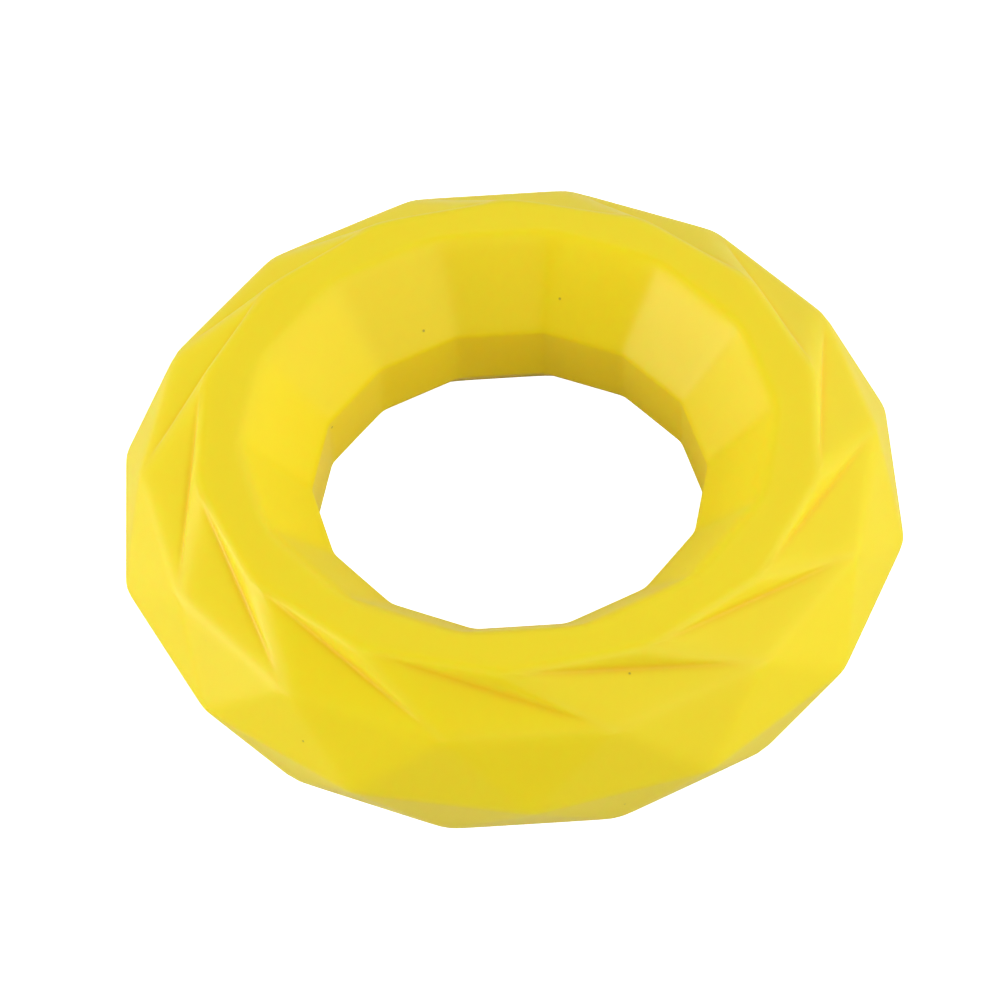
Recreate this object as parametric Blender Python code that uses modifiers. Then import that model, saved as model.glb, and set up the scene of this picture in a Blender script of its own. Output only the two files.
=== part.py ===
"""Faceted hand grip ring: one solid moulding in soft silicone rubber.

The upper half is a stack of polygon rings joined by bands of facets, from the
hole outwards: hole wall, flared throat, flat face, swirl of overlapping blades,
rim and widest edge.  The lower half mirrors it.

Units are metres and +Z is up.  The ring lies on Z = 0 with its axis on Z, and a
corner of the hole and a blade tip are on +X.
"""

import math

import bmesh
import bpy
from mathutils import Matrix

# --- driving dimensions -------------------------------------------------------
SIDES = 14                     # facets around the ring
OUTER_DIAMETER = 0.0760        # across the corners of the widest edge, at mid-height
THICKNESS = 0.0210             # from flat face to flat face

SHOULDER_WIDTH = 0.0079        # widest edge in to the blades' roots
FACE_WIDTH = 0.0046            # blades' roots in to the throat, the flat resting face
THROAT_FLARE = 0.0065          # throat's edge in to the hole wall
HOLE_WALL_HEIGHT = 0.0060      # upright band inside the hole

RIM_INSET = 0.0030             # widest edge in to the blades' tips
RIM_SPACING = 0.0134           # height from the lower blade tips to the upper ones
BLADE_LEAD = 0.34              # blade roots run ahead of the tips, as a share of a side

EDGE_ROUNDING = 0.0008         # how far a rounded edge eats into each facet
ROUNDING_STEPS = 2
CREASE_ANGLE = math.radians(4.0)   # facets that meet flatter than this aren't rounded

RUBBER_COLOUR = (0.83, 0.66, 0.03, 1.0)
RUBBER_ROUGHNESS = 0.5

# --- sizes that follow --------------------------------------------------------
side_angle = 2.0 * math.pi / SIDES
quarter_turn = math.pi / 2.0
outer_radius = OUTER_DIAMETER / 2.0
rim_radius = outer_radius - RIM_INSET
root_radius = outer_radius - SHOULDER_WIDTH
throat_radius = root_radius - FACE_WIDTH
hole_radius = throat_radius - THROAT_FLARE
face_height = THICKNESS / 2.0
rim_height = RIM_SPACING / 2.0
hole_wall_top = HOLE_WALL_HEIGHT / 2.0
merge_distance = 0.00001


def clear_scene():
    for item in list(bpy.data.objects):
        bpy.data.objects.remove(item, do_unlink=True)


def make_collection(name):
    collection = bpy.data.collections.new(name)
    bpy.context.scene.collection.children.link(collection)
    return collection


def make_rubber():
    material = bpy.data.materials.new("yellow_silicone")
    material.use_nodes = True
    shader = material.node_tree.nodes["Principled BSDF"]
    shader.inputs["Base Color"].default_value = RUBBER_COLOUR
    shader.inputs["Roughness"].default_value = RUBBER_ROUGHNESS
    shader.inputs["Metallic"].default_value = 0.0
    return material


def polygon_ring(mesh, radius, height, sides_ahead=0.0):
    """Corners of one polygon in order, turned ahead by a share of a side."""
    turn = sides_ahead * side_angle - quarter_turn    # a new circle starts on +Y
    place = Matrix.Translation((0.0, 0.0, height)) @ Matrix.Rotation(turn, 4, "Z")
    made = bmesh.ops.create_circle(mesh, segments=SIDES, radius=radius, matrix=place)
    return made["verts"]


def four_sided_band(mesh, inner, outer):
    """One flat facet a side, between two rings whose corners pair up."""
    for side in range(SIDES):
        after = (side + 1) % SIDES
        mesh.faces.new((inner[side], outer[side], outer[after], inner[after]))


def three_sided_band(mesh, inner, outer, lead):
    """Two triangles a side, with the outer ring's corners taken lead sides on."""
    for side in range(SIDES):
        after = (side + 1) % SIDES
        near = outer[(side + lead) % SIDES]
        far = outer[(side + lead + 1) % SIDES]
        mesh.faces.new((inner[side], near, far))
        mesh.faces.new((inner[side], far, inner[after]))


def upper_half(mesh):
    """The facets above mid-height, open along the mirror plane."""
    hole_middle = polygon_ring(mesh, hole_radius, 0.0)
    hole_edge = polygon_ring(mesh, hole_radius, hole_wall_top)
    throat_edge = polygon_ring(mesh, throat_radius, face_height)
    blade_roots = polygon_ring(mesh, root_radius, face_height, sides_ahead=BLADE_LEAD)
    blade_tips = polygon_ring(mesh, rim_radius, rim_height)
    widest_edge = polygon_ring(mesh, outer_radius, 0.0, sides_ahead=0.5)

    four_sided_band(mesh, hole_middle, hole_edge)
    four_sided_band(mesh, hole_edge, throat_edge)
    four_sided_band(mesh, throat_edge, blade_roots)
    three_sided_band(mesh, blade_roots, blade_tips, lead=1)     # a blade, then the step above it
    three_sided_band(mesh, blade_tips, widest_edge, lead=-1)
    bmesh.ops.recalc_face_normals(mesh, faces=mesh.faces)


def build_ring(collection):
    mesh = bmesh.new()
    upper_half(mesh)
    data = bpy.data.meshes.new("grip_ring")
    mesh.to_mesh(data)
    mesh.free()
    data.shade_smooth()
    data.materials.append(make_rubber())

    ring = bpy.data.objects.new("grip_ring", data)
    ring.location = (0.0, 0.0, face_height)
    collection.objects.link(ring)

    mirror = ring.modifiers.new("lower half", "MIRROR")
    mirror.use_axis = (False, False, True)
    mirror.use_clip = True
    mirror.merge_threshold = merge_distance

    rounding = ring.modifiers.new("moulded edges", "BEVEL")
    rounding.width = EDGE_ROUNDING
    rounding.segments = ROUNDING_STEPS
    rounding.limit_method = "ANGLE"
    rounding.angle_limit = CREASE_ANGLE
    rounding.harden_normals = True


def main():
    clear_scene()
    build_ring(make_collection("hand_grip_ring"))


main()
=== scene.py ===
import math

import bmesh
import bpy
from mathutils import Matrix, Vector
from mathutils.kdtree import KDTree


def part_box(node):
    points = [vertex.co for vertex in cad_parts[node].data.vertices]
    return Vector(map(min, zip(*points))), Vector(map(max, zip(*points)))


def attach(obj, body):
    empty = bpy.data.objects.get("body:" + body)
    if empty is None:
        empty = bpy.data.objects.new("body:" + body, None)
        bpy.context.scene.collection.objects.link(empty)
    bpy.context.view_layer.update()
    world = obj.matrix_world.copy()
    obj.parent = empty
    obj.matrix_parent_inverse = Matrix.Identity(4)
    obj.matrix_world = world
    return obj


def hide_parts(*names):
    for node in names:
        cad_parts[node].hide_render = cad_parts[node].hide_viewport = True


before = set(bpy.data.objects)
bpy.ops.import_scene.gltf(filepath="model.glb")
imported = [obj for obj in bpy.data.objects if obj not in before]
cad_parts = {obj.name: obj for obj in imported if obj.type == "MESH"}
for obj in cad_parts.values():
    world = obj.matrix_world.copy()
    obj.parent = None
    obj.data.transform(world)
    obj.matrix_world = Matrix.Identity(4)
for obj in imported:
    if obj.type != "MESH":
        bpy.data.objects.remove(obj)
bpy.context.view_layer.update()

mm = 0.001
ringLow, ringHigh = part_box("grip_ring")
ringHeight = ringHigh.z - ringLow.z
ringMiddle = Vector((0.0, 0.0, (ringLow.z + ringHigh.z) / 2))

bpy.context.scene.view_settings.view_transform = "Standard"
bpy.context.scene.view_settings.look = "None"


# materials are wired up with plain sums: 1 - mask, noise * 0.3 and so on
class Signal:
    def __init__(self, board, socket):
        self.board, self.socket = board, socket

    def sum(self, operation, first, second):
        return self.board.add("ShaderNodeMath", {"operation": operation}, {0: first, 1: second})

    def __add__(self, other): return self.sum("ADD", self, other)
    def __radd__(self, other): return self.sum("ADD", other, self)
    def __sub__(self, other): return self.sum("SUBTRACT", self, other)
    def __rsub__(self, other): return self.sum("SUBTRACT", other, self)
    def __mul__(self, other): return self.sum("MULTIPLY", self, other)
    def __rmul__(self, other): return self.sum("MULTIPLY", other, self)


class NodeBoard:
    def __init__(self, tree):
        self.tree = tree
        tree.nodes.clear()

    # settings go in first, because they change which sockets a node has
    def add(self, kind, settings=None, inputs=None, output=None):
        node = self.tree.nodes.new(kind)
        for name, value in (settings or {}).items():
            setattr(node, name, value)
        for name, value in (inputs or {}).items():
            socket = self.findSocket(node.inputs, name)
            if isinstance(value, Signal):
                self.tree.links.new(value.socket, socket)
            else:
                socket.default_value = value
        if node.outputs:
            return Signal(self, self.findSocket(node.outputs, output or 0))

    def findSocket(self, sockets, name):
        shown = [socket for socket in sockets if socket.enabled]
        if isinstance(name, int):
            return shown[name]
        return next(socket for socket in shown if socket.name == name)

    def blend(self, factor, first, second):
        return self.add("ShaderNodeMix", {"data_type": "RGBA"},
                        {"Factor": factor, "A": first, "B": second}, "Result")

    def noise(self, place, grain):
        scale, detail, roughness = grain
        return self.add("ShaderNodeTexNoise", None, {"Vector": place, "Scale": scale, "Detail": detail,
                                                     "Roughness": roughness}, "Fac")


def makeMaterial(name):
    material = bpy.data.materials.new(name)
    material.use_nodes = True
    return material, NodeBoard(material.node_tree)


ringShape = {
    "sides": 14,
    "cornerLoss": 0.42 * mm,        # what the rounding takes off the widest corners
    "shoulderWidth": 7.96 * mm,     # widest edge in to the blades' roots
    "faceWidth": 4.67 * mm,         # flat resting face
    "throatFlare": 6.5 * mm,        # slope from the face down into the hole
    "holeWallHeight": 6.1 * mm,
    "rimInset": 2.94 * mm,
    "rimSpacing": 13.5 * mm,        # lower blade tips to upper blade tips
    "bladeLead": 0.34,              # blade roots run ahead of the tips, in sides
    "mergeDistance": 0.01 * mm,
    "grooveDepth": 0.09 * mm,       # how far the valley between two blades is pinched in
    "grooveWidth": 0.40 * mm,
    "ridgeWidth": 0.40 * mm,        # how wide the paler band on a ridge is, partly wear and partly painted highlight
    "holeWallReach": 21.5 * mm,     # the hole wall lies inside this radius
    "holeWallBlend": 0.8 * mm,      # height over which its painted shade, a deeper yellow, fades out
    "valleyShade": 0.62,             # how far the valleys are painted towards the deeper yellow of painted shade
    "holeWallShade": 0.15,               # the same painted shade for the hole wall
    "cuts": 23,                     # every facet is cut this finely before its edges are rounded
    "pointSpacing": 0.25 * mm,      # of the points that stand for an edge
    "edgeReach": 0.15 * mm,         # how near a point has to be for its edge to rule it
    # how many times the fine points along each kind of edge are smoothed
    "smoothing": {
        "throatRim": 30,
        "throatCrease": 8,
        "holeEdge": 6,
        "holeCorner": 2,
        "faceEdge": 34,
        "bladeEdge": 36,
        "bladeValley": 4,
        "bladeFoot": 8,
        "rimCrease": 2,
        "girdle": 2,
    },
}

# the levels of the profile, from the middle of the hole out to the widest edge
holeMiddle, holeEdge, throatEdge, bladeRoot, bladeTip, widestEdge = range(6)


def spinUpperHalf(mesh, shape):
    outer = (ringHigh.y - ringLow.y) / 2 + shape["cornerLoss"]
    root = outer - shape["shoulderWidth"]
    throat = root - shape["faceWidth"]
    hole = throat - shape["throatFlare"]
    top = ringHeight / 2
    profile = [
        (hole, 0.0, 0.0),
        (hole, 0.0, shape["holeWallHeight"] / 2),
        (throat, 0.0, top),
        (root, shape["bladeLead"], top),
        (outer - shape["rimInset"], 1.0, shape["rimSpacing"] / 2),
        (outer, 1.5, 0.0),
    ]
    level = mesh.verts.layers.int.new("level")
    points = []
    for number, (radius, sidesAhead, height) in enumerate(profile):
        angle = sidesAhead * 2 * math.pi / shape["sides"]
        point = mesh.verts.new((radius * math.cos(angle), radius * math.sin(angle), height))
        point[level] = number
        points.append(point)
    line = [mesh.edges.new(pair) for pair in zip(points, points[1:])]
    bmesh.ops.spin(mesh, geom=points + line, cent=(0, 0, 0), axis=(0, 0, 1), dvec=(0, 0, 0),
                   angle=2 * math.pi, steps=shape["sides"], use_merge=True, use_duplicate=False)
    return level


def facesBetween(mesh, level, lower, upper):
    return [face for face in mesh.faces
            if {corner[level] for corner in face.verts} == {lower, upper}]


def edgeKind(edge, level):
    ends = tuple(sorted(corner[level] for corner in edge.verts))
    if ends == (bladeRoot, bladeTip):
        return "bladeEdge" if edge.is_convex else "bladeValley"
    return {
        (holeMiddle, holeEdge): "holeCorner",
        (holeEdge, holeEdge): "holeEdge",
        (holeEdge, throatEdge): "throatCrease",
        (throatEdge, throatEdge): "throatRim",
        (bladeRoot, bladeRoot): "faceEdge",
        (bladeTip, bladeTip): "bladeFoot",
        (bladeTip, widestEdge): "rimCrease",
        (widestEdge, widestEdge): "girdle",
    }.get(ends)


# points along every kind of edge, each with how near it is to the middle of its edge
def pointsAlongEdges(mesh, level, spacing):
    along = {}
    for edge in mesh.edges:
        kind = edgeKind(edge, level)
        if kind:
            steps = int(edge.calc_length() / spacing) + 1
            start, end = (corner.co for corner in edge.verts)
            along.setdefault(kind, []).extend(
                (start.lerp(end, step / steps), math.sin(math.pi * step / steps))
                for step in range(steps + 1))
    return along


def makeFinder(points):
    finder = KDTree(len(points))
    for number, (point, middleness) in enumerate(points):
        finder.insert(point, number)
    finder.balance()
    return finder


def roundEdges(mesh, finders, shape):
    # each point is smoothed as often as the edges nearest to it ask for
    turns = {}
    for corner in mesh.verts:
        total = share = 0.0
        for kind, finder in finders.items():
            near = 1.0 / (finder.find(corner.co)[2] ** 2 + shape["edgeReach"] ** 2)
            total += near * shape["smoothing"][kind]
            share += near
        turns[corner] = total / share
    for turn in range(max(shape["smoothing"].values())):
        moving = [corner for corner, count in turns.items() if count > turn]
        bmesh.ops.smooth_vert(mesh, verts=moving, factor=0.5, use_axis_x=True, use_axis_y=True,
                              use_axis_z=True)
    mesh.normal_update()
    print("ring: edges rounded")


# painted shade: a deeper yellow in the blade valleys and on the hole wall; paler ridges, partly handling
# wear and partly painted highlight
def markCreaseShadeAndRidges(mesh, along, finders, shape):
    creaseShade = mesh.verts.layers.float.new("creaseShade")
    ridgeWearAndHighlight = mesh.verts.layers.float.new("ridgeWearAndHighlight")
    ridges = [finders["faceEdge"], finders["bladeEdge"]]
    for corner in mesh.verts:
        place, number, away = finders["bladeValley"].find(corner.co)
        middleness = along["bladeValley"][number][1]
        pinch = math.exp(-(away / shape["grooveWidth"]) ** 2) * middleness
        nearest = min(finder.find(corner.co)[2] for finder in ridges)
        # paler ridges: partly handling wear, partly painted highlight
        corner[ridgeWearAndHighlight] = math.exp(-(nearest / shape["ridgeWidth"]) ** 2)
        wall = 0.0
        if corner.co.xy.length < shape["holeWallReach"]:
            below = shape["holeWallHeight"] / 2 - abs(corner.co.z - ringMiddle.z)
            wall = min(max(below / shape["holeWallBlend"] + 0.5, 0.0), 1.0)
        # painted shade: the valleys and the hole wall are marked for a deeper yellow where shade falls
        corner[creaseShade] = max(pinch * shape["valleyShade"], wall * shape["holeWallShade"])
        corner.co -= corner.normal * shape["grooveDepth"] * pinch
    print("ring: creaseShades and ridges marked")


def buildRing(shape):
    mesh = bmesh.new()
    level = spinUpperHalf(mesh, shape)
    # each blade is split from the step above it along the longer diagonal
    bmesh.ops.triangulate(mesh, faces=facesBetween(mesh, level, bladeRoot, bladeTip),
                          quad_method="LONG_EDGE", ngon_method="BEAUTY")
    bmesh.ops.triangulate(mesh, faces=facesBetween(mesh, level, bladeTip, widestEdge),
                          quad_method="SHORT_EDGE", ngon_method="BEAUTY")
    bmesh.ops.mirror(mesh, geom=mesh.verts[:] + mesh.edges[:] + mesh.faces[:],
                     matrix=Matrix.Identity(4), axis="Z", merge_dist=shape["mergeDistance"])
    bmesh.ops.remove_doubles(mesh, verts=mesh.verts[:], dist=shape["mergeDistance"])
    bmesh.ops.recalc_face_normals(mesh, faces=mesh.faces[:])
    bmesh.ops.translate(mesh, verts=mesh.verts[:], vec=ringMiddle)

    along = pointsAlongEdges(mesh, level, shape["pointSpacing"])
    finders = {kind: makeFinder(points) for kind, points in along.items()}
    bmesh.ops.subdivide_edges(mesh, edges=mesh.edges[:], cuts=shape["cuts"], use_grid_fill=True)
    roundEdges(mesh, finders, shape)
    markCreaseShadeAndRidges(mesh, along, finders, shape)
    mesh.verts.layers.int.remove(level)
    data = bpy.data.meshes.new("gripRing")
    mesh.to_mesh(data)
    mesh.free()
    data.shade_smooth()
    ring = bpy.data.objects.new("gripRing", data)
    bpy.context.collection.objects.link(ring)
    print("ring:", len(data.polygons), "facets")
    return ring


siliconeLook = {
    "yellow": (0.985, 0.775, 0.004, 1.0),
    "deepYellow": (0.975, 0.745, 0.003, 1.0),
    # the paler ridge yellow: partly wear, partly painted highlight
    "paleYellow": (0.985, 0.84, 0.09, 1.0),
    # painted shade: the deeper yellow laid into the blade valleys and on the hole wall
    "creaseShadeYellow": (0.95, 0.60, 0.001, 1.0),
    "wearAndHighlight": 0.5,                   # how pale the ridges are: partly rubbed wear, partly painted highlight
    "roughness": 0.46,
    "roughnessSpread": 0.10,
    "ior": 1.41,
    "subsurface": 0.45,
    "scatter": (5.0 * mm, 2.0 * mm, 0.3 * mm),
    "bloom": 0.12,                 # the pale film that old silicone shows at its rims
    "bloomRoughness": 0.45,
    # scale, detail and roughness of each noise
    "clouds": (90.0, 3.0, 0.5),
    "handling": (240.0, 4.0, 0.6),
    "grain": (5200.0, 2.0, 0.5),
    "grainStrength": 0.2,
    "grainHeight": 0.02 * mm,
    "speck": (0.20, 0.15, 0.03, 1.0),
    "speckStrength": 0.55,
    "speckCells": 165.0,           # about one grain of dust every 6 mm
    "speckSize": 0.028,            # its radius, in those cells
    "speckCore": 0.6,              # the share of that radius that is fully dark
}


def siliconeMaterial(look):
    material, board = makeMaterial("yellowSilicone")
    place = board.add("ShaderNodeTexCoord", output="Object")
    clouds, handling, grain = (board.noise(place, look[name]) for name in ("clouds", "handling", "grain"))
    creaseShade, ridgeWearAndHighlight = (board.add("ShaderNodeAttribute", {"attribute_name": name}, None, "Fac")
                   for name in ("creaseShade", "ridgeWearAndHighlight"))
    body = board.blend(clouds, look["deepYellow"], look["yellow"])
    # paler ridges: partly handling wear, partly painted highlight
    body = board.blend(ridgeWearAndHighlight * look["wearAndHighlight"] * handling, body, look["paleYellow"])
    # painted shade: deeper yellow in the valleys and on the hole wall
    body = board.blend(creaseShade, body, look["creaseShadeYellow"])
    dust = board.add("ShaderNodeTexVoronoi", {"feature": "F1"},
                     {"Vector": place, "Scale": look["speckCells"]}, "Distance")
    speck = board.add("ShaderNodeMapRange", None,
                      {"Value": dust, "From Min": look["speckSize"],
                       "From Max": look["speckSize"] * look["speckCore"]}, "Result")
    body = board.blend(speck * look["speckStrength"], body, look["speck"])
    bump = board.add("ShaderNodeBump", None, {"Strength": look["grainStrength"],
                                              "Distance": look["grainHeight"], "Height": grain})
    shader = board.add("ShaderNodeBsdfPrincipled", {"subsurface_method": "RANDOM_WALK"}, {
        "Base Color": body,
        "Roughness": look["roughness"] + (handling - 0.5) * look["roughnessSpread"],
        "Normal": bump,
        "IOR": look["ior"],
        "Subsurface Weight": look["subsurface"],
        "Subsurface Radius": look["scatter"],
        "Subsurface Scale": 1.0,
        "Sheen Weight": look["bloom"],
        "Sheen Roughness": look["bloomRoughness"],
    })
    board.add("ShaderNodeOutputMaterial", None, {"Surface": shader})
    return material


ring = buildRing(ringShape)
ring.data.materials.append(siliconeMaterial(siliconeLook))
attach(ring, "root")
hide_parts("grip_ring")
print("ring: built")


floorLook = {
    "radius": 3.0,
    "segments": 96,
    "colour": (0.74, 0.74, 0.74, 1.0),
    "roughness": 0.9,
    "paper": 1.15,        # how bright the plain sweep looks behind the ring
}


def buildFloor(look):
    mesh = bmesh.new()
    bmesh.ops.create_circle(mesh, cap_ends=True, segments=look["segments"], radius=look["radius"])
    data = bpy.data.meshes.new("studioFloor")
    mesh.to_mesh(data)
    mesh.free()
    material, board = makeMaterial("whiteSweep")
    # an overexposed backdrop: white to look at, but it lights the ring only by what it reflects
    seen = board.add("ShaderNodeLightPath", output="Is Camera Ray")
    shader = board.add("ShaderNodeBsdfPrincipled", None, {
        "Base Color": look["colour"],
        "Roughness": look["roughness"],
        "Specular IOR Level": 0.0,
        "Emission Color": (1.0, 1.0, 1.0, 1.0),
        "Emission Strength": seen * look["paper"],
    })
    board.add("ShaderNodeOutputMaterial", None, {"Surface": shader})
    data.materials.append(material)
    floor = bpy.data.objects.new("studioFloor", data)
    bpy.context.collection.objects.link(floor)


softboxes = {
    # turn is round from the right, rise is up from the floor, both in degrees
    "leftLowBox": {"turn": 180, "rise": 12, "size": 1.2, "watts": 23.7},
    "leftBox": {"turn": 180, "rise": 45, "size": 2.2, "watts": 1.8},
    "leftBackBox": {"turn": 130, "rise": 38, "size": 2.0, "watts": 2.9},
    "rightLowBox": {"turn": 0, "rise": 12, "size": 1.2, "watts": 5.5},
    "rightBox": {"turn": 0, "rise": 45, "size": 2.2, "watts": 2.7},
    "rightBackBox": {"turn": 50, "rise": 38, "size": 2.0, "watts": 10.0},
    "rightFrontBox": {"turn": -45, "rise": 38, "size": 2.0, "watts": 18.2},
}
studio = {"boxAway": 1.5, "roomGlow": 0.02}


def buildLights():
    for name, box in softboxes.items():
        light = bpy.data.lights.new(name, "AREA")
        light.shape = "SQUARE"
        light.size = box["size"]
        light.energy = box["watts"]
        lamp = bpy.data.objects.new(name, light)
        turn, rise = math.radians(box["turn"]), math.radians(box["rise"])
        lamp.location = studio["boxAway"] * Vector((math.cos(turn) * math.cos(rise),
                                                    math.sin(turn) * math.cos(rise),
                                                    math.sin(rise)))
        aim = ringMiddle - lamp.location
        lamp.rotation_euler = aim.to_track_quat("-Z", "Y").to_euler()
        lamp.visible_camera = False
        bpy.context.collection.objects.link(lamp)
    world = bpy.data.worlds.new("whiteTent")
    world.use_nodes = True
    bpy.context.scene.world = world
    board = NodeBoard(world.node_tree)
    seen = board.add("ShaderNodeLightPath", output="Is Camera Ray")
    strength = seen + (1 - seen) * studio["roomGlow"]
    glow = board.add("ShaderNodeBackground", None, {"Color": (1.0, 1.0, 1.0, 1.0), "Strength": strength})
    board.add("ShaderNodeOutputWorld", None, {"Surface": glow})


cameraView = {
    "elevation": 49.483,
    "azimuth": -0.880,
    "roll": -2.823,
    "distance": 434.38 * mm,
    "sideways": -1.037 * mm,
    "upwards": -0.257 * mm,
    "lens": 162.59,
    "sensor": 36.0,
    "nearest": 10 * mm,
}


def buildCamera(view):
    data = bpy.data.cameras.new("studioCamera")
    data.lens = view["lens"]
    data.sensor_width = view["sensor"]
    data.clip_start = view["nearest"]
    camera = bpy.data.objects.new("studioCamera", data)
    turn = (Matrix.Rotation(math.radians(view["azimuth"]), 4, "Z")
            @ Matrix.Rotation(math.radians(90.0 - view["elevation"]), 4, "X"))
    shift = turn @ Vector((view["sideways"], view["upwards"], view["distance"]))
    camera.matrix_world = (Matrix.Translation(ringMiddle + shift) @ turn
                           @ Matrix.Rotation(math.radians(view["roll"]), 4, "Z"))
    bpy.context.collection.objects.link(camera)
    bpy.context.scene.camera = camera


buildFloor(floorLook)
buildLights()
buildCamera(cameraView)
print("studio: floor, lights and camera placed")

bpy.context.view_layer.update()
